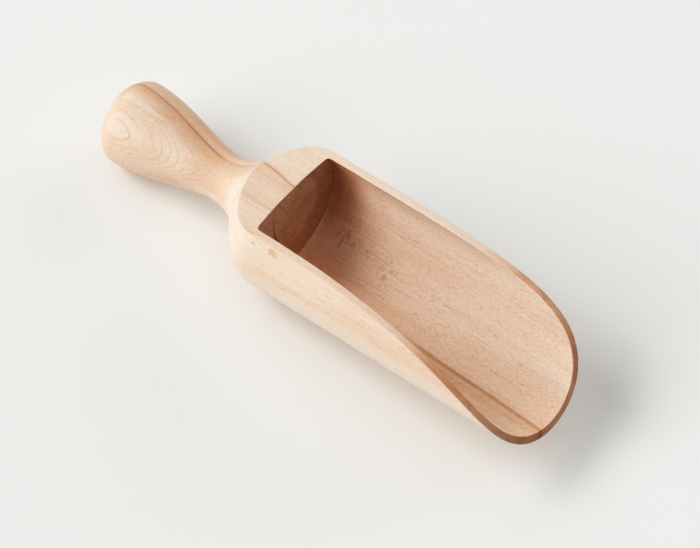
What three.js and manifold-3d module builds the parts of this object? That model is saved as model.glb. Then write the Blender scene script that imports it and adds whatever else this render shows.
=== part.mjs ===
// Canister scoop: a round wooden bowl, cut away to an open mouth, on a turned handle with a glued tenon.
// Millimetres, +Z up. The scoop lies as it rests on a table, on the back of its bowl and the butt of its
// handle, with its mouth towards +X and its origin on the table under the middle of its box.
// A curve's pull is how far it runs on along its own direction at that end before it bends away.
import * as THREE from "three";
import { mergeVertices } from "three/addons/utils/BufferGeometryUtils.js";
import Module from "manifold-3d";

// Bowl. Stations run along the scoop's axis from the corner of the bore's end wall, forward to the mouth.
const bowlDiameter = 50;
const wallThickness = 2.5;
const boreLength = 104.4; // from the end wall to the lip
const landHeight = 12.8; // of the flat on the bowl's back, above the axis
const endDiscDiameter = 28; // flat middle of the bore's end wall
const endDishDepth = 0.8; // of that middle behind the wall's corner

// Rim. It leaves the land level and falls in one sweep to the lip under the mouth.
const rimPull = 64;
const lipPullLength = 11.5; // back from the lip
const lipPullHeight = 29; // up from the lip

// Shoulder, rounded down to its foot, and the hollow from there to the neck.
const shoulderLength = 14.9;
const shoulderTopPull = 8.2;
const shoulderFootPull = 6.7;
const shoulderFootDiameter = 27.4;
const shoulderFootSlope = 55; // degrees from the axis
const hollowLength = 11.6;
const hollowFootPull = 3.5;
const hollowNeckPull = 5;

// Handle, from the neck to the butt.
const neckDiameter = 16.8;
const gripDiameter = 29.7;
const gripLength = 37.5; // from the neck to the widest place
const gripNeckPull = 11;
const gripWidePull = 15;
const buttLength = 9;

// Tenon of the handle and its socket in the bowl.
const neckWall = 2.6; // wood left round the socket
const tenonEndWood = 6; // wood left between the socket and the bore
const tenonEndGap = 1; // room for glue
const tenonClearance = 0.3; // all round

// Finish of the wood.
const bowlColor = 0xe6c8a6;
const handleColor = 0xd9b48e;
const woodRoughness = 0.65;

// Making of the meshes.
const sides = 60;
const curveSteps = 12;
const rimSteps = 28;
const mergeDistance = 0.001;
const cutMargin = 5; // how far a cutting shape runs past the wood
const steepestTilt = 45; // degrees
const tiltHalvings = 40;
const ellipsePull = 0.5523; // share of a half axis that makes a quarter of an ellipse

const bowlRadius = bowlDiameter / 2;
const boreRadius = bowlRadius - wallThickness;
const endDiscRadius = endDiscDiameter / 2;
const footRadius = shoulderFootDiameter / 2;
const neckRadius = neckDiameter / 2;
const gripRadius = gripDiameter / 2;
const socketRadius = neckRadius - neckWall;
const tenonRadius = socketRadius - tenonClearance;

const footStation = -shoulderLength;
const neckStation = footStation - hollowLength;
const gripStation = neckStation - gripLength;
const buttStation = gripStation - buttLength;
const socketStation = -endDishDepth - tenonEndWood;
const tenonStation = socketStation - tenonEndGap;

const wasm = await Module();
wasm.setup();

function solidFrom(geometry) {
  geometry.deleteAttribute("normal");
  geometry.deleteAttribute("uv");
  const merged = mergeVertices(geometry, mergeDistance);
  const mesh = new wasm.Mesh({
    numProp: 3,
    vertProperties: merged.getAttribute("position").array,
    triVerts: Uint32Array.from(merged.index.array),
  });
  return new wasm.Manifold(mesh);
}

// A solid turned about the X axis. The outline's points are (radius, station).
function turnedSolid(outline) {
  const geometry = new THREE.LatheGeometry(outline, sides, Math.PI / sides);
  geometry.rotateZ(-Math.PI / 2);
  return solidFrom(geometry);
}

function namedMesh(name, solid, color) {
  const { vertProperties, triVerts } = solid.getMesh();
  const geometry = new THREE.BufferGeometry();
  geometry.setAttribute("position", new THREE.BufferAttribute(vertProperties, 3));
  geometry.setIndex(new THREE.BufferAttribute(triVerts, 1));
  geometry.computeVertexNormals();
  const material = new THREE.MeshStandardMaterial({ color, roughness: woodRoughness, metalness: 0 });
  const mesh = new THREE.Mesh(geometry, material);
  mesh.name = name;
  return mesh;
}

// Outside of the bowl, from the neck forward past the lip.
function bowlOutline() {
  const slope = THREE.MathUtils.degToRad(shoulderFootSlope);
  const along = new THREE.Vector2(Math.sin(slope), Math.cos(slope));
  const foot = new THREE.Vector2(footRadius, footStation);
  const behind = foot.clone().addScaledVector(along, -hollowFootPull);
  const ahead = foot.clone().addScaledVector(along, shoulderFootPull);
  const path = new THREE.Path();
  path.moveTo(0, neckStation);
  path.lineTo(neckRadius, neckStation);
  path.bezierCurveTo(neckRadius, neckStation + hollowNeckPull, behind.x, behind.y, foot.x, foot.y);
  path.bezierCurveTo(ahead.x, ahead.y, bowlRadius, -shoulderTopPull, bowlRadius, 0);
  path.lineTo(bowlRadius, boreLength + cutMargin);
  path.lineTo(0, boreLength + cutMargin);
  return path.getPoints(curveSteps);
}

// The bore: a slightly hollow end wall and a straight side, open past the lip.
function boreOutline() {
  const openEnd = boreLength + 2 * cutMargin;
  const path = new THREE.Path();
  path.moveTo(0, -endDishDepth);
  path.lineTo(endDiscRadius, -endDishDepth);
  path.lineTo(boreRadius, 0);
  path.lineTo(boreRadius, openEnd);
  path.lineTo(0, openEnd);
  return path.getPoints();
}

// The socket for the tenon, open past the neck.
function socketOutline() {
  const openEnd = neckStation - cutMargin;
  const path = new THREE.Path();
  path.moveTo(0, openEnd);
  path.lineTo(socketRadius, openEnd);
  path.lineTo(socketRadius, socketStation);
  path.lineTo(0, socketStation);
  return path.getPoints();
}

// Everything above the land and the rim, drawn from the side.
function mouthCut() {
  const clear = bowlRadius + cutMargin;
  const front = boreLength + 2 * cutMargin;
  const lip = new THREE.Vector2(boreLength, -bowlRadius);
  const shape = new THREE.Shape();
  shape.moveTo(neckStation, landHeight);
  shape.lineTo(0, landHeight);
  shape.bezierCurveTo(rimPull, landHeight, lip.x - lipPullLength, lip.y + lipPullHeight, lip.x, lip.y);
  shape.lineTo(lip.x, -clear);
  shape.lineTo(front, -clear);
  shape.lineTo(front, clear);
  shape.lineTo(neckStation, clear);
  const settings = { depth: 2 * clear, bevelEnabled: false, curveSegments: rimSteps };
  const geometry = new THREE.ExtrudeGeometry(shape, settings);
  geometry.translate(0, 0, -clear);
  geometry.rotateX(Math.PI / 2);
  return solidFrom(geometry);
}

// Outside of the handle, from the butt to the end of the tenon.
function handleOutline() {
  const buttPull = ellipsePull * gripRadius;
  const sidePull = gripStation - ellipsePull * buttLength;
  const widePull = gripStation + gripWidePull;
  const neckPull = neckStation - gripNeckPull;
  const path = new THREE.Path();
  path.moveTo(0, buttStation);
  path.bezierCurveTo(buttPull, buttStation, gripRadius, sidePull, gripRadius, gripStation);
  path.bezierCurveTo(gripRadius, widePull, neckRadius, neckPull, neckRadius, neckStation);
  path.lineTo(tenonRadius, neckStation);
  path.lineTo(tenonRadius, tenonStation);
  path.lineTo(0, tenonStation);
  return path.getPoints(curveSteps);
}

// How far an outline reaches below the axis's start when the mouth is lifted by an angle.
function reach(outline, angle) {
  const depths = outline.map((point) => point.x * Math.cos(angle) - point.y * Math.sin(angle));
  return Math.max(...depths);
}

// The angle at which the bowl and the handle both touch the table, found by halving.
function restTilt() {
  const bowl = bowlOutline();
  const handle = handleOutline();
  let low = 0;
  let high = THREE.MathUtils.degToRad(steepestTilt);
  for (let i = 0; i < tiltHalvings; i += 1) {
    const middle = (low + high) / 2;
    if (reach(handle, middle) < reach(bowl, middle)) low = middle;
    else high = middle;
  }
  return low;
}

const bowlSolid = turnedSolid(bowlOutline())
  .subtract(turnedSolid(boreOutline()))
  .subtract(turnedSolid(socketOutline()))
  .subtract(mouthCut());
const handleSolid = turnedSolid(handleOutline());

const scoop = new THREE.Group();
scoop.add(namedMesh("scoop_bowl", bowlSolid, bowlColor));
scoop.add(namedMesh("turned_handle", handleSolid, handleColor));
scoop.rotation.y = -restTilt();

const box = new THREE.Box3().setFromObject(scoop, true);
const middle = box.getCenter(new THREE.Vector3());
scoop.position.set(-middle.x, -middle.y, -box.min.z);

const part = new THREE.Group();
part.add(scoop);

export default part;
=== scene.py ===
"""A wooden canister scoop: the looks of its bowl and handle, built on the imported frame.

The meshes are made in millimetres along the scoop's own axis: x runs from the bore's end wall to the
mouth, y to the far side and z up out of the mouth. They are then tilted as the scoop rests and scaled
to metres.
"""
import math

import bmesh
import bpy
import numpy as np
from mathutils import Matrix, Vector


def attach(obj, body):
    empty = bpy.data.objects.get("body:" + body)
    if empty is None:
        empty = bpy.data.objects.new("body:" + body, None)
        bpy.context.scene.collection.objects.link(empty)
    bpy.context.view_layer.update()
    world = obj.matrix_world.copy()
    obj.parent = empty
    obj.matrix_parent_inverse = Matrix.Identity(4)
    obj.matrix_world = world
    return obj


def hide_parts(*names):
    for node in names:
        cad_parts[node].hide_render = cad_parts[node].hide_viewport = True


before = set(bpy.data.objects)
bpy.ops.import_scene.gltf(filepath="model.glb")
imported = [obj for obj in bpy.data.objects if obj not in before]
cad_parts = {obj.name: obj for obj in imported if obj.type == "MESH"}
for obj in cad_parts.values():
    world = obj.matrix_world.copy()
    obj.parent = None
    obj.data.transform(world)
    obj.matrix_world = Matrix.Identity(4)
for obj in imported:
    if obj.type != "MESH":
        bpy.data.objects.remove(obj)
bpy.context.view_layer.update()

MM = 0.001
BODY = "root"

# The scoop's axis in the frame: how far the mouth is lifted, and where the bore's end wall lies.
REST_TILT = math.radians(9.1286)
AXIS_START = (-17.3203, 0.0, 24.8556)

# Bowl, as in the CAD. The round meshes are drawn in a little, to lie inside the CAD's facets.
DRAWN_IN = 0.998
BOWL_RADIUS = 25.0 * DRAWN_IN
BORE_RADIUS = 22.5
BORE_LENGTH = 104.4
LAND_HEIGHT = 12.8 * DRAWN_IN
END_DISC_RADIUS = 14.0
END_DISH_DEPTH = 0.8
BORE_CORNER = 2.0
RIM_PULL = 64.0
LIP_PULL = (11.5, 29.0)

# Shoulder and hollow.
SHOULDER_LENGTH = 14.9
SHOULDER_TOP_PULL = 8.2
SHOULDER_FOOT_PULL = 6.7
FOOT_RADIUS = 13.7 * DRAWN_IN
FOOT_SLOPE = math.radians(55)
HOLLOW_LENGTH = 11.6
HOLLOW_FOOT_PULL = 3.5
HOLLOW_NECK_PULL = 5.0

# Handle, with its tenon and the bowl's socket.
NECK_RADIUS = 8.4 * DRAWN_IN
GRIP_RADIUS = 14.85 * DRAWN_IN
GRIP_LENGTH = 37.5
GRIP_NECK_PULL = 11.0
GRIP_WIDE_PULL = 15.0
BUTT_LENGTH = 9.0
ELLIPSE_PULL = 0.5523
SOCKET_RADIUS = 5.8
TENON_RADIUS = 5.5
SOCKET_END = -6.8
TENON_END = -7.8

# Stations along the axis.
FOOT_STATION = -SHOULDER_LENGTH
NECK_STATION = FOOT_STATION - HOLLOW_LENGTH
GRIP_STATION = NECK_STATION - GRIP_LENGTH
BUTT_STATION = GRIP_STATION - BUTT_LENGTH

# Eased edges.
OUTER_EASE = 0.55
INNER_EASE = 0.3
EASE_STEPS = 5

# Mesh spacing.
AROUND = 128
LAND_STEPS = 44
RIM_STEPS = 150
TOP_STEPS = 6
CURVE_STEPS = 40
DENSE = 6000
LEAST_RADIUS = 0.001
MERGE_DISTANCE = 1e-7
SHARP_ANGLE = math.radians(40)

# Wood, layer by layer. Lengths of a noise run along the grain, along a ring and across the rings, in
# millimetres. A pair says where a layer is absent and where it is full. A tint multiplies the colour.
RING_TURN = math.radians(-50.3)
RING_WANDER = 1.3
RING_WANDER_LENGTHS = (45.0, 14.0, 14.0)
NOISE_MIDDLE = 0.5
PLAIN_DETAIL = 0.0
SPECK_DETAIL = 1.0
GRAIN_DETAIL = 2.0

# Places that several layers share: the bore, its end wall, the land and the neck.
BORE_BEGINS = (-1.0, -0.9)
BORE_EDGE = (23.0, 22.8)
END_WALL = (0.35, 0.1)
BELOW_LAND = (12.75, 12.6)
LAND_ENDS = (1.0, 0.5)
NECK_MIDDLE = -22.0

# Base tones, with painted light that makes the shoulder, the low near side and the far top of the bore
# paler.
PALE = (0.772, 0.587, 0.453)
TAN = (0.715, 0.513, 0.375)
TONE_LENGTHS = (70.0, 9.0, 4.0)
TONE_BAND = (0.35, 0.65)
PAINTED_NEAR_LIGHT = (0.785, 0.652, 0.54)
NEAR_SIDE = (0.0, 8.0)
NEAR_LOW = (-14.0, -21.0)
SHOULDER_BEHIND = (6.0, -4.0)
SHOULDER_AHEAD = (-22.0, -14.0)
SHOULDER_SHARE = 0.5
PAINTED_FAR_LIGHT = (0.83, 0.67, 0.535)
FAR_TOP = (7.5, 15.5)
FAR_AHEAD = (0.0, 14.0)
FAR_LEAST = 0.4

# Ring lines, along the phase of a ring.
RING_FIRST = 5.2
RING_SPACING = 0.775
RING_DARKENS = (0.35, 1.0)
RING_LINE_STARTS = (0.74, 0.94)
RING_LINE_ENDS = (1.0, 0.94)
RING_BREAK_LENGTHS = (9.0, 7.0, 1.0)
RING_BREAKS = (0.40, 0.58)
RING_SLOW_TINT = (0.98, 0.965, 0.955)
RING_LINE_TINT = (0.87, 0.79, 0.73)
RING_FADES = (19.0, 15.0)
RING_FACING = (0.75, 0.97)
RING_LEAST = 0.3
RING_NECK = (6.0, 13.0)
BORE_GRAIN_SHARE = 0.3

# Fibres and rays.
FIBRE_LENGTHS = (16.0, 0.4, 0.4)
FIBRE_BAND = (0.4, 0.7)
FIBRE_TINT = (0.965, 0.945, 0.93)
RAY_LENGTHS = (4.5, 0.7, 10.0)
RAY_BAND = (0.68, 0.76)
RAY_PATCH_LENGTHS = (18.0, 6.0, 10.0)
RAY_PATCHES = (0.4, 0.6)
RAY_TINT = (0.89, 0.80, 0.75)
RAY_FACING = (0.55, 0.9)
RAY_AHEAD = (-14.0, -8.0)

# Pores, and the traces of the cutter in the bore.
PORE_LENGTHS = (1.0, 0.55, 0.55)
PORE_BAND = (0.42, 0.75)
PORE_TINT = (0.92, 0.88, 0.85)
TORN_LENGTHS = (0.9, 0.6, 0.6)
TORN_BAND = (0.45, 0.75)
TORN_TINT = (0.90, 0.86, 0.83)
DASH_LENGTHS = (2.0, 0.7, 0.7)
DASH_BAND = (0.70, 0.82)
DASH_TINT = (0.88, 0.82, 0.77)
DASH_OUTSIDE = 0.6
LONG_LENGTHS = (16.0, 0.7, 0.7)
LONG_BAND = (0.66, 0.80)
LONG_TINT = (0.89, 0.83, 0.79)

# Ripples in the bore: each patch has a centre and a size.
RIPPLE_LENGTHS = (1.3, 3.6, 3.6)
RIPPLE_BAND = (0.52, 0.68)
RIPPLE_TINT = (0.86, 0.77, 0.72)
RIPPLE_FADE = (1.0, 0.5)
RIPPLE_PATCHES = (
    ((11.5, 14.3, -17.4), (6.5, 5.0, 5.0)),
    ((30.0, 12.6, -18.6), (5.5, 4.0, 4.0)),
)

# The dark line.
LINE_RING = 5.2
LINE_RISES = (-14.0, 0.0)
LINE_RISE = 1.5
LINE_UPPER = (-6.0, 0.0)
LINE_WANDER = 1.0
LINE_HALF_WIDTH = 0.4
LINE_NECK = (4.0, 10.0)
LINE_NECK_SHARE = 0.3
LINE_TINT = (0.66, 0.53, 0.45)
LINE_SHADE = (-1.5, 6.0)
LINE_SHADE_TINT = (0.88, 0.78, 0.70)
LAND_SHADE = (-12.0, -20.0)
LAND_SHADE_SHARE = 0.75
BROWN_SIDE = (12.0, 4.0)
BROWN_HANDLE = (-20.0, -30.0)
BROWN_TINT = (0.93, 0.82, 0.73)

# Stripes on the land.
STRIPE_LENGTHS = (40.0, 1.8, 1.8)
STRIPE_BAND = (0.5, 0.66)
STRIPE_SIDE = (4.0, -1.0)
STRIPE_TINT = (0.93, 0.87, 0.82)

# The bottom streak.
STREAK_START = 51.0
STREAK_RING = -12.5
STREAK_SLOPE = 0.054
STREAK_DEPTH = (-8.0, -12.0)
STREAK_FADES_IN = (38.0, 62.0)
STREAK_LINE = (-0.8, 1.6)
STREAK_SHADE = (-0.8, 8.0)
STREAK_TINT = (0.78, 0.67, 0.59)
STREAK_SHADE_TINT = (0.92, 0.81, 0.70)

# Flecks: each has a centre and a size.
FLECKS = (
    ((9.2, -22.5, 10.8), (2.4, 3.0, 1.3)),
    ((1.9, -22.5, 10.8), (0.9, 3.0, 1.1)),
    ((29.0, 11.2, -19.5), (1.0, 1.2, 1.2)),
)
FLECK_EDGE_LENGTHS = (1.2, 1.2, 1.2)
FLECK_ROUGHNESS = 2.0
FLECK_FADE = (1.9, 1.5)
FLECK_TINT = (0.89, 0.72, 0.64)

# End grain on the rim.
RIM_AHEAD = (4.0, 12.0)
RIM_FACING = (0.14, 0.42)
END_GRAIN_TINT = (0.85, 0.64, 0.52)
NEAR_LIP = (4.0, -10.0)
NEAR_LIP_TINT = (0.89, 0.80, 0.74)
END_PATCH_LENGTHS = (6.0, 5.0, 2.5)
END_PATCHES = (0.5, 0.6)
END_PATCH_TINT = (0.92, 0.82, 0.76)

# Painted light and shade in the bore: painted warm bounce light along its bottom, painted shade at its
# back and in its far corner.
BOTTOM_SIDE = (12.0, 1.0)
BOTTOM_DEPTH = (-8.0, -16.0)
BOTTOM_BEHIND = (55.0, 12.0)
BOTTOM_LEAST = 0.4
BOTTOM_BOUNCE_LIGHT_TINT = (1.10, 0.96, 0.84)
BORE_BACK = (28.0, 2.0)
BORE_BACK_SHADE_TINT = (1.0, 0.87, 0.77)
CORNER_BACK = (15.0, 6.0)
CORNER_SIDE = (15.0, 20.0)
CORNER_AHEAD = (-0.3, 0.3)
CORNER_SHADE_TINT = (0.86, 0.74, 0.66)

# The end wall, with painted shade on the far side of the ring about its disc, and a painted shadow along
# the disc's near edge.
END_WALL_TINT = (0.84, 0.78, 0.75)
END_RAY_TURN = math.radians(-35.0)
END_RAY_LENGTHS = (6.0, 1.0, 14.0)
END_RAYS = (0.55, 0.75)
END_RAY_TINT = (0.82, 0.75, 0.70)
END_RING = (13.9, 14.3)
END_RING_SIDE = (-8.0, 4.0)
END_RING_SHADE_TINT = (0.86, 0.80, 0.75)
MARK_SIDE = -8.8
MARK_HEIGHT = 4.5
MARK_BEND = 0.0175
MARK_TOP = 9.0
MARK_LENGTH = (18.0, 15.0)
MARK_SPREAD = 0.045
MARK_LEAST = 0.05
MARK_EDGE = (1.0, 0.6)
MARK_SHADOW_TINT = (0.55, 0.42, 0.36)

# Surface of the wood.
RELIEF_LENGTHS = (5.0, 0.35, 0.35)
ROUGHNESS = (0.52, 0.72)
SPECULAR = 0.3
BUMP_STRENGTH = 0.25
BUMP_HEIGHT = 0.04 * MM

# Socket numbers of the colour inputs and the result of a Mix node.
COLOUR_A = 6
COLOUR_B = 7
COLOUR_RESULT = 2

# Floor.
FLOOR_SIZE = 3.0
FLOOR_COLOUR = (0.828, 0.81, 0.75)
FLOOR_ROUGHNESS = 0.7

# Camera, in the scoop's own axes, as fitted to the photograph.
CAMERA_PLACE = (444.20, -592.70, 916.82)
CAMERA_BACK = (0.35708, -0.50303, 0.78705)
CAMERA_RIGHT = (0.79717, 0.60328, 0.02391)
SENSOR_WIDTH = 36.0
FOCAL_PIXELS = 3686.0
IMAGE_WIDTH = 700.0

# Lights: name, azimuth, elevation and spread in degrees, and strength.
LIGHTS = (
    ("key", 205.0, 41.0, 24.0, 1.26),
    ("near card", 235.0, 30.0, 40.0, 1.68),
    ("low near card", 250.0, 10.0, 35.0, 0.56),
    ("far card", 160.0, 40.0, 40.0, 0.48),
    ("mouth card", 78.0, 20.0, 50.0, 1.12),
    ("top card", 0.0, 77.0, 60.0, 0.56),
)
LIGHT_COLOUR = (0.96, 0.985, 1.03)
SURROUNDINGS = 0.02

# The photograph's contrast, on display values, and what turns a display value into a scene value.
CONTRAST = 1.1
MIDDLE_TONE = 0.5
DISPLAY_TONES = (0.15, 0.3, 0.5, 0.7, 0.85)
DISPLAY_OFFSET = 0.055
DISPLAY_POWER = 2.4
COMBINED_CURVE = 3


def bezier(*pulls, count=CURVE_STEPS):
    """Points of a cubic curve, both ends included."""
    a, b, c, d = (np.array(p, float) for p in pulls)
    t = np.linspace(0, 1, count + 1)[:, None]
    s = 1 - t
    return s**3 * a + 3 * s**2 * t * b + 3 * s * t**2 * c + t**3 * d


RIM = bezier(
    (0, LAND_HEIGHT),
    (RIM_PULL, LAND_HEIGHT),
    (BORE_LENGTH - LIP_PULL[0], LIP_PULL[1] - BOWL_RADIUS),
    (BORE_LENGTH, -BOWL_RADIUS),
    count=DENSE,
)


def cut_height(station):
    """Height of the land or the rim above the axis."""
    return np.interp(station, RIM[:, 0], RIM[:, 1])


class Turned:
    """A surface turned about the x axis, kept where it lies under the cut.

    A run is a length along its profile.
    """

    def __init__(self, *stretches):
        self.profile = np.vstack(stretches)
        steps = np.linalg.norm(np.diff(self.profile, axis=0), axis=1)
        self.runs = np.concatenate([[0.0], np.cumsum(steps)])

    def station(self, run):
        return np.interp(run, self.runs, self.profile[:, 0])

    def radius(self, run):
        return np.interp(run, self.runs, self.profile[:, 1])

    def half_angle(self, run):
        """Angle from the underside up to the cut, the same on both sides."""
        share = -cut_height(self.station(run)) / np.maximum(self.radius(run), LEAST_RADIUS)
        return np.arccos(np.clip(share, -1, 1))

    def point(self, run, angle):
        radius = self.radius(run)
        station = self.station(run) + np.zeros_like(angle)
        return np.stack([station, radius * np.sin(angle), -radius * np.cos(angle)], axis=-1)

    def edge_runs(self, start, end, count):
        """Runs that space the cut's edge evenly between two runs."""
        turn = np.linspace(0, np.pi, DENSE)
        runs = start + (end - start) * (1 - np.cos(turn)) / 2
        points = self.point(runs, self.half_angle(runs))
        steps = np.linalg.norm(np.diff(points, axis=0), axis=1)
        length = np.concatenate([[0.0], np.cumsum(steps)])
        return np.interp(np.linspace(0, length[-1], count + 1), length, runs)


class Trim:
    """The edge that the cut leaves on a turned surface, and its easing.

    It starts at the back of the land, passes the land's corner and ends at the lip.
    """

    def __init__(self, surface, corner_run, ease):
        back = np.interp(LAND_HEIGHT, surface.profile[:, 1], surface.runs)
        lip_station = np.interp(surface.profile[-1, 1], -RIM[:, 1], RIM[:, 0])
        lip = surface.runs[-1] - (surface.profile[-1, 0] - lip_station)
        land = surface.edge_runs(back, corner_run, LAND_STEPS)
        rim = surface.edge_runs(corner_run, lip, RIM_STEPS)
        self.surface = surface
        self.runs = np.concatenate([land, rim[1:]])
        self.angles = surface.half_angle(self.runs)
        self.angles[0] = np.pi
        self.angles[-1] = 0.0
        ahead = np.gradient(self.runs)
        around = surface.radius(self.runs) * np.gradient(self.angles)
        ahead[[0, -1]] = 0.0
        size = np.hypot(ahead, around)
        self.eased_runs = self.runs + ease * around / size
        self.eased_angles = self.angles - ease * ahead / size / surface.radius(self.runs)

    def loop(self, eased=False):
        """The edge as a closed loop: the near side out to the lip, then the far side back."""
        runs = self.eased_runs if eased else self.runs
        angles = self.eased_angles if eased else self.angles
        near = self.surface.point(runs, -angles)
        far = self.surface.point(runs, angles)
        return np.vstack([near, far[-2:0:-1]])

    def rows(self):
        """Rows of the surface: whole rings up to the back of the land, then arcs under the edge."""
        spread = np.linspace(-1, 1, AROUND + 1)
        whole = self.surface.runs[self.surface.runs < self.eased_runs[0] - OUTER_EASE]
        rings = [self.surface.point(run, np.pi * spread) for run in whole]
        ends = zip(self.eased_runs, self.eased_angles)
        arcs = [self.surface.point(run, angle * spread) for run, angle in ends]
        return rings + arcs


def conic(start, corner, end):
    """Loops that round a corner between two loops, ends left out."""
    for t in np.linspace(0, 1, EASE_STEPS + 1)[1:-1]:
        yield (1 - t) ** 2 * start + 2 * t * (1 - t) * corner + t**2 * end


def on_cut(loop):
    """The loop moved up or down onto the land and the rim."""
    return np.column_stack([loop[:, :2], cut_height(loop[:, 0])])


def cut_rows(outer, inner):
    """Rows of the land and the rim, from the outer skin to the inner one, with both edges eased."""
    out_edge = outer.loop()
    in_edge = inner.loop()
    across = in_edge - out_edge
    across /= np.linalg.norm(across, axis=1)[:, None]
    out_top = on_cut(out_edge + OUTER_EASE * across)
    in_top = on_cut(in_edge - INNER_EASE * across)
    shares = np.linspace(0, 1, TOP_STEPS + 1)
    return [
        outer.loop(eased=True),
        *conic(outer.loop(eased=True), out_edge, out_top),
        *(on_cut(out_top + share * (in_top - out_top)) for share in shares),
        *conic(in_top, in_edge, inner.loop(eased=True)),
        inner.loop(eased=True),
    ]


def bowl_outside():
    """Socket, neck face, hollow, shoulder and the straight outside."""
    foot = np.array([FOOT_STATION, FOOT_RADIUS])
    along = np.array([math.cos(FOOT_SLOPE), math.sin(FOOT_SLOPE)])
    hollow = bezier(
        (NECK_STATION, NECK_RADIUS),
        (NECK_STATION + HOLLOW_NECK_PULL, NECK_RADIUS),
        foot - HOLLOW_FOOT_PULL * along,
        foot,
    )
    shoulder = bezier(
        foot,
        foot + SHOULDER_FOOT_PULL * along,
        (-SHOULDER_TOP_PULL, BOWL_RADIUS),
        (0, BOWL_RADIUS),
    )
    socket = [(SOCKET_END, 0), (SOCKET_END, SOCKET_RADIUS), (NECK_STATION, SOCKET_RADIUS)]
    return Turned(socket, hollow, shoulder[1:], [(BORE_LENGTH, BOWL_RADIUS)])


def bowl_inside():
    """End wall, its rounded corner and the bore."""
    wall_slope = END_DISH_DEPTH / (BORE_RADIUS - END_DISC_RADIUS)
    corner = bezier(
        (-BORE_CORNER * wall_slope, BORE_RADIUS - BORE_CORNER),
        (0, BORE_RADIUS),
        (0, BORE_RADIUS),
        (BORE_CORNER, BORE_RADIUS),
        count=EASE_STEPS,
    )
    wall = [(-END_DISH_DEPTH, 0), (-END_DISH_DEPTH, END_DISC_RADIUS)]
    return Turned(wall, corner, [(BORE_LENGTH, BORE_RADIUS)])


def handle_outside():
    """Butt, grip and neck, then the tenon."""
    butt = bezier(
        (BUTT_STATION, 0),
        (BUTT_STATION, ELLIPSE_PULL * GRIP_RADIUS),
        (GRIP_STATION - ELLIPSE_PULL * BUTT_LENGTH, GRIP_RADIUS),
        (GRIP_STATION, GRIP_RADIUS),
    )
    grip = bezier(
        (GRIP_STATION, GRIP_RADIUS),
        (GRIP_STATION + GRIP_WIDE_PULL, GRIP_RADIUS),
        (NECK_STATION - GRIP_NECK_PULL, NECK_RADIUS),
        (NECK_STATION, NECK_RADIUS),
        count=2 * CURVE_STEPS,
    )
    tenon = [(NECK_STATION, TENON_RADIUS), (TENON_END, TENON_RADIUS), (TENON_END, 0)]
    return Turned(butt, grip[1:], tenon)


def placed(points):
    """Points along the scoop's axis, in millimetres, moved to the frame, in metres."""
    x, y, z = points.T
    turned = [
        x * math.cos(REST_TILT) - z * math.sin(REST_TILT),
        y,
        x * math.sin(REST_TILT) + z * math.cos(REST_TILT),
    ]
    return (np.column_stack(turned) + AXIS_START) * MM


def grid_faces(first, rows, width, closed):
    """Quads between rows of points, the first of which has the number first."""
    for i in range(rows - 1):
        low = first + i * width
        for j in range(width if closed else width - 1):
            k = (j + 1) % width
            yield low + j, low + k, low + width + k, low + width + j


def make_piece(name, node, material, grids):
    """One closed mesh from grids of rows, each (rows, closed), standing for a CAD node."""
    points = []
    faces = []
    for rows, closed in grids:
        faces.extend(grid_faces(len(points), len(rows), len(rows[0]), closed))
        points.extend(placed(np.vstack(rows)).tolist())
    mesh = bpy.data.meshes.new(name)
    mesh.from_pydata(points, [], faces)
    work = bmesh.new()
    work.from_mesh(mesh)
    bmesh.ops.remove_doubles(work, verts=work.verts, dist=MERGE_DISTANCE)
    bmesh.ops.dissolve_degenerate(work, dist=MERGE_DISTANCE, edges=work.edges)
    bmesh.ops.recalc_face_normals(work, faces=work.faces)
    work.to_mesh(mesh)
    work.free()
    mesh.shade_smooth()
    mesh.set_sharp_from_angle(angle=SHARP_ANGLE)
    mesh.materials.append(material)
    piece = bpy.data.objects.new(name, mesh)
    bpy.context.scene.collection.objects.link(piece)
    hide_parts(node)
    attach(piece, BODY)


def make_bowl(material):
    """The bowl. Its land gives way to the rim where the straight outside and the bore begin."""
    outside = bowl_outside()
    inside = bowl_inside()
    straight_begins = outside.runs[-2]
    corner_middle = inside.runs[len(inside.runs) // 2]
    outer = Trim(outside, straight_begins, OUTER_EASE)
    inner = Trim(inside, corner_middle, INNER_EASE)
    grids = [(outer.rows(), False), (inner.rows(), False), (cut_rows(outer, inner), True)]
    make_piece("scoop_bowl_wood", "scoop_bowl", material, grids)


def make_handle(material):
    """The handle, with its tenon."""
    outside = handle_outside()
    around = np.linspace(-np.pi, np.pi, AROUND + 1)
    rings = [outside.point(run, around) for run in outside.runs]
    make_piece("turned_handle_wood", "turned_handle", material, [(rings, False)])


def opaque(colour):
    """The colour with full alpha."""
    return (*colour, 1.0)


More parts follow.
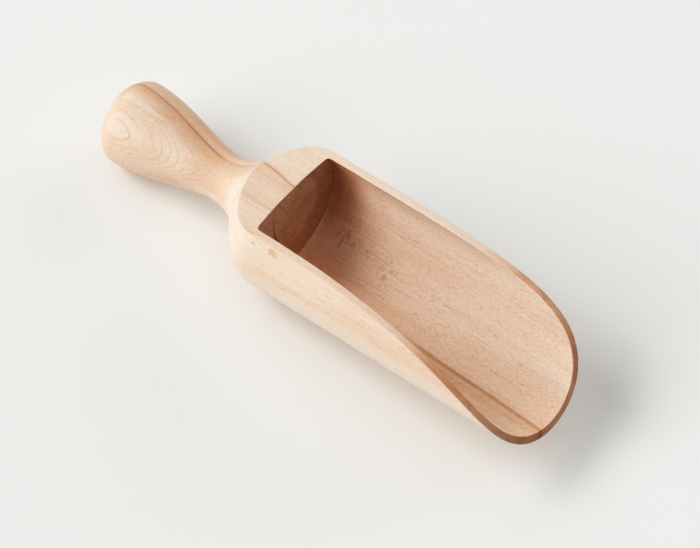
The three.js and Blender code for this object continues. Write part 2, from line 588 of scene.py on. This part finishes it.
class Graph:
    """A material's node tree, with short calls that add a node and give its output."""

    def __init__(self, name):
        self.material = bpy.data.materials.new(name)
        self.material.use_nodes = True
        self.tree = self.material.node_tree
        self.shader = self.tree.nodes["Principled BSDF"]

    def add(self, kind, inputs=None, **settings):
        """A new node with its settings made and its inputs joined to outputs or set to plain values."""
        node = self.tree.nodes.new("ShaderNode" + kind)
        for key, value in settings.items():
            setattr(node, key, value)
        for key, value in (inputs or {}).items():
            self.feed(node.inputs[key], value)
        return node

    def feed(self, socket, value):
        """Joins an output to the socket, or sets a plain value on it."""
        if isinstance(value, bpy.types.NodeSocket):
            self.tree.links.new(value, socket)
        else:
            socket.default_value = value

    def math(self, operation, first, second=0.0):
        return self.add("Math", {0: first, 1: second}, operation=operation).outputs[0]

    def band(self, value, low, high, least=0.0):
        """A smooth step from the least share at low to 1 at high."""
        inputs = {"Value": value, "From Min": low, "From Max": high, "To Min": least}
        return self.add("MapRange", inputs, interpolation_type="SMOOTHSTEP").outputs["Result"]

    def ridge(self, value, low, high):
        """1 where the value is 0, falling to 0 at low and at high."""
        return self.both(self.band(value, low, 0.0), self.band(value, high, 0.0))

    def outside(self, mask, least=0.0):
        """1 where the mask is 0, and the least share where it is 1."""
        return self.band(mask, 1.0, 0.0, least)

    def both(self, *masks):
        """The product of several masks."""
        product = masks[0]
        for mask in masks[1:]:
            product = self.math("MULTIPLY", product, mask)
        return product

    def noise(self, place, lengths, detail=GRAIN_DETAIL):
        """Noise about its middle, whose grain has the given lengths along the place's axes."""
        scale = tuple(1 / length for length in lengths)
        scaled = self.add("VectorMath", {0: place, 1: scale}, operation="MULTIPLY").outputs[0]
        return self.add("TexNoise", {"Vector": scaled, "Scale": 1.0, "Detail": detail}).outputs["Fac"]

    def mix(self, mask, first, second, blend="MIX"):
        """The first colour where the mask is 0, and the blend of both where it is 1."""
        node = self.add("Mix", data_type="RGBA", blend_type=blend)
        self.feed(node.inputs["Factor"], mask)
        self.feed(node.inputs[COLOUR_A], first)
        self.feed(node.inputs[COLOUR_B], second)
        return node.outputs[COLOUR_RESULT]

    def tint(self, colour, mask, tint):
        """The colour times a tint where the mask is 1."""
        return self.mix(mask, colour, opaque(tint), "MULTIPLY")


class Places:
    """Where a shaded point lies, along the axis and across the rings, and masks that layers share."""

    def __init__(self, graph):
        self.coordinates = graph.add("TexCoord")
        tilt = Matrix.Rotation(REST_TILT, 3, "Y")
        shift = -(tilt @ Vector(AXIS_START))
        untilt = {"Vector": self.coordinates.outputs["Object"], "Location": shift}
        untilt.update({"Rotation": tilt.to_euler(), "Scale": (1 / MM, 1 / MM, 1 / MM)})
        self.axis = graph.add("Mapping", untilt).outputs[0]
        turn = {"Vector": self.axis, "Rotation": (RING_TURN, 0.0, 0.0)}
        self.grain = graph.add("Mapping", turn).outputs[0]
        self.x, self.y, self.z = graph.add("SeparateXYZ", {0: self.axis}).outputs
        _, self.tangent, self.radial = graph.add("SeparateXYZ", {0: self.grain}).outputs
        squares = [graph.math("MULTIPLY", side, side) for side in (self.y, self.z)]
        self.radius = graph.math("SQRT", graph.math("ADD", *squares))
        self.wander = graph.math("SUBTRACT", graph.noise(self.grain, RING_WANDER_LENGTHS), NOISE_MIDDLE)
        self.ring = graph.math("ADD", self.radial, graph.math("MULTIPLY", self.wander, RING_WANDER))
        untilted = tilt.transposed()
        across = untilted @ Matrix.Rotation(-RING_TURN, 3, "X") @ Vector((0, 0, 1))
        self.to_mouth = self.facing(graph, untilted @ Vector((1, 0, 0)))
        self.to_bark = graph.math("ABSOLUTE", self.facing(graph, across))
        self.from_neck = graph.math("ABSOLUTE", graph.math("SUBTRACT", self.x, NECK_MIDDLE))
        self.below_land = graph.band(self.z, *BELOW_LAND)
        in_bore = graph.both(graph.band(self.x, *BORE_BEGINS), graph.band(self.radius, *BORE_EDGE))
        self.inside = graph.both(in_bore, self.below_land)
        self.end_wall = graph.both(self.inside, graph.band(self.x, *END_WALL))

    def facing(self, graph, direction):
        """How far the surface faces a direction."""
        inputs = {0: self.coordinates.outputs["Normal"], 1: direction}
        return graph.add("VectorMath", inputs, operation="DOT_PRODUCT").outputs["Value"]


def base_tones(graph, places):
    """Pale and tan stretches along the grain, with painted light making the shoulder, the low near side
    and the far top paler.
    """
    stretches = graph.band(graph.noise(places.grain, TONE_LENGTHS), *TONE_BAND)
    colour = graph.mix(stretches, opaque(PALE), opaque(TAN))
    shoulder = graph.both(graph.band(places.x, *SHOULDER_BEHIND), graph.band(places.x, *SHOULDER_AHEAD))
    shoulder = graph.both(shoulder, places.below_land, SHOULDER_SHARE)
    low = graph.math("MAXIMUM", shoulder, graph.band(places.tangent, *NEAR_LOW))
    near = graph.both(low, graph.band(places.radial, *NEAR_SIDE))
    far = graph.band(places.tangent, *FAR_TOP)
    in_bore = graph.both(places.inside, graph.band(places.x, *FAR_AHEAD))
    far = graph.both(far, graph.math("MAXIMUM", in_bore, FAR_LEAST))
    # Painted light: the shoulder and the low near side, which face the light, are paler.
    colour = graph.mix(near, colour, opaque(PAINTED_NEAR_LIGHT))
    # Painted light: the far top, most of all in the bore, is paler.
    return graph.mix(far, colour, opaque(PAINTED_FAR_LIGHT))


def ring_lines(graph, places, colour):
    """Growth rings: each darkens slowly and ends in a thin broken line, plainest where it lies flat."""
    from_first = graph.math("SUBTRACT", places.ring, RING_FIRST)
    phase = graph.math("FRACT", graph.math("DIVIDE", from_first, RING_SPACING))
    slow = graph.band(phase, *RING_DARKENS)
    line = graph.both(graph.band(phase, *RING_LINE_STARTS), graph.band(phase, *RING_LINE_ENDS))
    broken = graph.band(graph.noise(places.grain, RING_BREAK_LENGTHS), *RING_BREAKS)
    bore = graph.outside(places.inside, BORE_GRAIN_SHARE)
    fades = graph.both(graph.band(places.radial, *RING_FADES), bore)
    flat = graph.band(places.to_bark, *RING_FACING, RING_LEAST)
    flat = graph.both(flat, graph.band(places.from_neck, *RING_NECK))
    colour = graph.tint(colour, graph.both(slow, fades), RING_SLOW_TINT)
    return graph.tint(colour, graph.both(line, broken, flat, fades), RING_LINE_TINT)


def fibres(graph, places, colour):
    """Fine streaks along the grain."""
    streaks = graph.band(graph.noise(places.grain, FIBRE_LENGTHS), *FIBRE_BAND)
    bore = graph.outside(places.inside, BORE_GRAIN_SHARE)
    return graph.tint(colour, graph.both(streaks, bore), FIBRE_TINT)


def rays(graph, places, colour):
    """Short dashes along the grain where the wood's rays come to the surface."""
    dashes = graph.band(graph.noise(places.grain, RAY_LENGTHS, PLAIN_DETAIL), *RAY_BAND)
    where = graph.band(graph.noise(places.grain, RAY_PATCH_LENGTHS), *RAY_PATCHES)
    end_on = graph.both(graph.band(places.to_bark, *RAY_FACING), graph.band(places.x, *RAY_AHEAD))
    return graph.tint(colour, graph.both(dashes, where, end_on), RAY_TINT)


def pores(graph, places, colour):
    """Fine specks and short dashes, stronger in the bore, where there are long torn lines too."""
    specks = graph.band(graph.noise(places.grain, PORE_LENGTHS, SPECK_DETAIL), *PORE_BAND)
    colour = graph.tint(colour, specks, PORE_TINT)
    torn = graph.band(graph.noise(places.grain, TORN_LENGTHS, SPECK_DETAIL), *TORN_BAND)
    colour = graph.tint(colour, graph.both(torn, places.inside), TORN_TINT)
    dashes = graph.band(graph.noise(places.grain, DASH_LENGTHS, PLAIN_DETAIL), *DASH_BAND)
    where = graph.math("MAXIMUM", places.inside, DASH_OUTSIDE)
    colour = graph.tint(colour, graph.both(dashes, where), DASH_TINT)
    lines = graph.band(graph.noise(places.grain, LONG_LENGTHS, PLAIN_DETAIL), *LONG_BAND)
    return graph.tint(colour, graph.both(lines, places.inside), LONG_TINT)


def spot_distance(graph, places, centre, size):
    """Distance from the centre of a spot, as a share of its size."""
    offset = graph.add("VectorMath", {0: places.axis, 1: centre}, operation="SUBTRACT").outputs[0]
    share = graph.add("VectorMath", {0: offset, 1: size}, operation="DIVIDE").outputs[0]
    return graph.add("VectorMath", {0: share}, operation="LENGTH").outputs["Value"]


def ripples(graph, places, colour):
    """Patches of short strokes across the grain, where the cutter lifted the fibres of the bore."""
    strokes = graph.band(graph.noise(places.axis, RIPPLE_LENGTHS, PLAIN_DETAIL), *RIPPLE_BAND)
    for centre, size in RIPPLE_PATCHES:
        patch = graph.band(spot_distance(graph, places, centre, size), *RIPPLE_FADE)
        colour = graph.tint(colour, graph.both(strokes, patch, places.inside), RIPPLE_TINT)
    return colour


def dark_line(graph, places, colour):
    """One dark ring line along the top of the handle and the land.

    It lies in a soft shade that is widest on its near side, and fades over the neck. The near top of the
    handle is browner.
    """
    rise = graph.math("MULTIPLY", graph.band(places.x, *LINE_RISES), LINE_RISE)
    ring = graph.math("ADD", places.radial, graph.math("MULTIPLY", places.wander, LINE_WANDER))
    off = graph.math("SUBTRACT", graph.math("SUBTRACT", ring, LINE_RING), rise)
    behind_bore = graph.both(graph.outside(places.inside), graph.band(places.x, *LAND_ENDS))
    here = graph.both(behind_bore, graph.band(places.tangent, *LINE_UPPER))
    brown = graph.both(graph.band(ring, *BROWN_SIDE), graph.band(places.x, *BROWN_HANDLE))
    colour = graph.tint(colour, graph.both(brown, here), BROWN_TINT)
    weaker = graph.band(places.x, *LAND_SHADE, LAND_SHADE_SHARE)
    shade = graph.both(graph.ridge(off, *LINE_SHADE), weaker)
    colour = graph.tint(colour, graph.both(shade, here), LINE_SHADE_TINT)
    line = graph.band(graph.math("ABSOLUTE", off), LINE_HALF_WIDTH, 0.0)
    line = graph.both(line, graph.band(places.from_neck, *LINE_NECK, LINE_NECK_SHARE))
    return graph.tint(colour, graph.both(line, here), LINE_TINT)


def land_stripes(graph, places, colour):
    """Soft brown stripes along the near half of the land."""
    stripes = graph.band(graph.noise(places.axis, STRIPE_LENGTHS, PLAIN_DETAIL), *STRIPE_BAND)
    land = graph.both(graph.outside(places.below_land), graph.band(places.x, *LAND_ENDS))
    near = graph.band(places.y, *STRIPE_SIDE)
    return graph.tint(colour, graph.both(stripes, land, near), STRIPE_TINT)


def bottom_streak(graph, places, colour):
    """A brown streak along the bottom of the bore towards the mouth, soft on its near side."""
    drift = graph.math("MULTIPLY", graph.math("SUBTRACT", places.x, STREAK_START), STREAK_SLOPE)
    off = graph.math("SUBTRACT", graph.math("SUBTRACT", places.ring, STREAK_RING), drift)
    low = graph.band(places.tangent, *STREAK_DEPTH)
    here = graph.both(low, graph.band(places.x, *STREAK_FADES_IN))
    colour = graph.tint(colour, graph.both(graph.ridge(off, *STREAK_SHADE), here), STREAK_SHADE_TINT)
    return graph.tint(colour, graph.both(graph.ridge(off, *STREAK_LINE), here), STREAK_TINT)


def flecks(graph, places, colour):
    """A few brown-pink flecks on the near wall and in the bore."""
    for centre, size in FLECKS:
        distance = spot_distance(graph, places, centre, size)
        edge = graph.math("MULTIPLY", graph.noise(places.axis, FLECK_EDGE_LENGTHS), FLECK_ROUGHNESS)
        rough = graph.math("ADD", distance, edge)
        colour = graph.tint(colour, graph.band(rough, *FLECK_FADE), FLECK_TINT)
    return colour


def end_grain(graph, places, colour):
    """The rim browns in patches as it turns to face the mouth, the near side most."""
    ahead = graph.band(places.x, *RIM_AHEAD)
    facing = graph.band(places.to_mouth, *RIM_FACING)
    patches = graph.band(graph.noise(places.grain, END_PATCH_LENGTHS), *END_PATCHES)
    near = graph.band(places.y, *NEAR_LIP)
    colour = graph.tint(colour, graph.both(facing, ahead), END_GRAIN_TINT)
    colour = graph.tint(colour, graph.both(facing, ahead, near), NEAR_LIP_TINT)
    return graph.tint(colour, graph.both(facing, ahead, patches), END_PATCH_TINT)


def painted_bore_light_and_shade(graph, places, colour):
    """Painted light and shade in the bore: warm bounce light painted along its bottom, shade painted at
    its back and darkest in its far corner.
    """
    # Painted warm bounce light along the bottom of the bore, strongest towards its back.
    bottom_bounce = graph.both(graph.band(places.y, *BOTTOM_SIDE), graph.band(places.z, *BOTTOM_DEPTH))
    behind = graph.band(places.x, *BOTTOM_BEHIND, BOTTOM_LEAST)
    colour = graph.tint(colour, graph.both(places.inside, bottom_bounce, behind), BOTTOM_BOUNCE_LIGHT_TINT)
    # Painted shade at the back of the bore.
    back = graph.both(places.inside, graph.band(places.x, *BORE_BACK))
    colour = graph.tint(colour, back, BORE_BACK_SHADE_TINT)
    # Painted shade, darkest, in the far corner next to the end wall.
    corner = graph.both(graph.band(places.x, *CORNER_BACK), graph.band(places.y, *CORNER_SIDE))
    before_wall = graph.band(places.x, *CORNER_AHEAD)
    return graph.tint(colour, graph.both(places.inside, corner, before_wall), CORNER_SHADE_TINT)


def end_wall(graph, places, colour):
    """The bore's end wall is darker, with lines along the rays, and darkest round its disc, where shade
    is painted on the far side of the ring.
    """
    colour = graph.tint(colour, places.end_wall, END_WALL_TINT)
    along_rays = {"Vector": places.axis, "Rotation": (END_RAY_TURN, 0.0, 0.0)}
    lines = graph.noise(graph.add("Mapping", along_rays).outputs[0], END_RAY_LENGTHS)
    colour = graph.tint(colour, graph.both(places.end_wall, graph.band(lines, *END_RAYS)), END_RAY_TINT)
    # Painted shade on the ring round the disc, on its far side.
    ring = graph.both(graph.band(places.radius, *END_RING), graph.band(places.y, *END_RING_SIDE))
    return graph.tint(colour, graph.both(places.end_wall, ring), END_RING_SHADE_TINT)


def disc_edge_shadow(graph, places, colour):
    """A painted shadow on the end wall: a bent dark band along the disc's near edge, which widens
    downwards.
    """
    height = graph.math("SUBTRACT", places.z, MARK_HEIGHT)
    bend = graph.math("MULTIPLY", graph.math("MULTIPLY", height, height), MARK_BEND)
    off = graph.math("SUBTRACT", graph.math("SUBTRACT", places.y, MARK_SIDE), bend)
    below = graph.math("SUBTRACT", MARK_TOP, places.z)
    width = graph.math("MAXIMUM", graph.math("MULTIPLY", below, MARK_SPREAD), MARK_LEAST)
    share = graph.math("DIVIDE", graph.math("ABSOLUTE", off), width)
    # Painted shadow along the disc's near edge.
    edge_shadow = graph.both(graph.band(share, *MARK_EDGE), graph.band(below, *MARK_LENGTH))
    return graph.tint(colour, graph.both(places.end_wall, edge_shadow), MARK_SHADOW_TINT)


def wood_surface(graph, places):
    """Matt raw wood, whose fibres raise the surface a little."""
    relief = graph.noise(places.grain, RELIEF_LENGTHS, SPECK_DETAIL)
    rough = {"Value": relief, "To Min": ROUGHNESS[0], "To Max": ROUGHNESS[1]}
    graph.feed(graph.shader.inputs["Roughness"], graph.add("MapRange", rough).outputs["Result"])
    graph.feed(graph.shader.inputs["Specular IOR Level"], SPECULAR)
    bump = graph.add("Bump", {"Strength": BUMP_STRENGTH, "Distance": BUMP_HEIGHT, "Height": relief})
    graph.feed(graph.shader.inputs["Normal"], bump.outputs[0])


def wood_material(name):
    """Solid beech: the same wood through both pieces, so the grain runs on from one to the other."""
    graph = Graph(name)
    places = Places(graph)
    colour = base_tones(graph, places)
    colour = ring_lines(graph, places, colour)
    colour = fibres(graph, places, colour)
    colour = rays(graph, places, colour)
    colour = pores(graph, places, colour)
    colour = ripples(graph, places, colour)
    colour = dark_line(graph, places, colour)
    colour = land_stripes(graph, places, colour)
    colour = bottom_streak(graph, places, colour)
    colour = flecks(graph, places, colour)
    colour = end_grain(graph, places, colour)
    colour = painted_bore_light_and_shade(graph, places, colour)
    colour = end_wall(graph, places, colour)
    colour = disc_edge_shadow(graph, places, colour)
    graph.feed(graph.shader.inputs["Base Color"], colour)
    wood_surface(graph, places)
    return graph.material


def make_floor():
    """A plain pale floor."""
    half = FLOOR_SIZE / 2
    mesh = bpy.data.meshes.new("floor")
    corners = [(-half, -half, 0), (half, -half, 0), (half, half, 0), (-half, half, 0)]
    mesh.from_pydata(corners, [], [(0, 1, 2, 3)])
    graph = Graph("floor")
    graph.feed(graph.shader.inputs["Base Color"], opaque(FLOOR_COLOUR))
    graph.feed(graph.shader.inputs["Roughness"], FLOOR_ROUGHNESS)
    mesh.materials.append(graph.material)
    floor = bpy.data.objects.new("floor", mesh)
    bpy.context.scene.collection.objects.link(floor)


def make_camera():
    """The photograph's camera."""
    data = bpy.data.cameras.new("camera")
    data.sensor_width = SENSOR_WIDTH
    data.lens = SENSOR_WIDTH * FOCAL_PIXELS / IMAGE_WIDTH
    camera = bpy.data.objects.new("camera", data)
    bpy.context.scene.collection.objects.link(camera)
    tilt = Matrix.Rotation(-REST_TILT, 3, "Y")
    back = (tilt @ Vector(CAMERA_BACK)).normalized()
    up = back.cross(tilt @ Vector(CAMERA_RIGHT)).normalized()
    spin = Matrix((up.cross(back), up, back)).transposed().to_4x4()
    place = Vector(placed(np.array([CAMERA_PLACE]))[0])
    camera.matrix_world = Matrix.Translation(place) @ spin
    bpy.context.scene.camera = camera


def make_light(name, azimuth, elevation, spread, strength):
    """A wide soft light, far off in a direction: its azimuth goes from +x towards +y."""
    data = bpy.data.lights.new(name, "SUN")
    data.angle = math.radians(spread)
    data.energy = strength
    data.color = LIGHT_COLOUR
    light = bpy.data.objects.new(name, data)
    bpy.context.scene.collection.objects.link(light)
    flat = math.cos(math.radians(elevation))
    away = Vector((
        flat * math.cos(math.radians(azimuth)),
        flat * math.sin(math.radians(azimuth)),
        math.sin(math.radians(elevation)),
    ))
    light.rotation_mode = "QUATERNION"
    light.rotation_quaternion = away.to_track_quat("Z", "Y")


def make_surroundings():
    """A dim even light from all round."""
    world = bpy.data.worlds.new("studio")
    world.use_nodes = True
    background = world.node_tree.nodes["Background"]
    background.inputs["Color"].default_value = opaque(LIGHT_COLOUR)
    background.inputs["Strength"].default_value = SURROUNDINGS
    bpy.context.scene.world = world


def scene_value(shown):
    """Scene value of a display value."""
    return ((shown + DISPLAY_OFFSET) / (1 + DISPLAY_OFFSET)) ** DISPLAY_POWER


def set_tones():
    """The photograph's contrast: an S-shaped curve on the display values."""
    view = bpy.context.scene.view_settings
    view.view_transform = "Standard"
    view.use_curve_mapping = True
    points = view.curve_mapping.curves[COMBINED_CURVE].points
    for shown in DISPLAY_TONES:
        contrast = shown + CONTRAST * shown * (1 - shown) * (shown - MIDDLE_TONE)
        points.new(scene_value(shown), scene_value(contrast))
    view.curve_mapping.update()


make_bowl(wood_material("bowl_wood"))
make_handle(wood_material("handle_wood"))
make_floor()
make_camera()
for light in LIGHTS:
    make_light(*light)
make_surroundings()
set_tones()
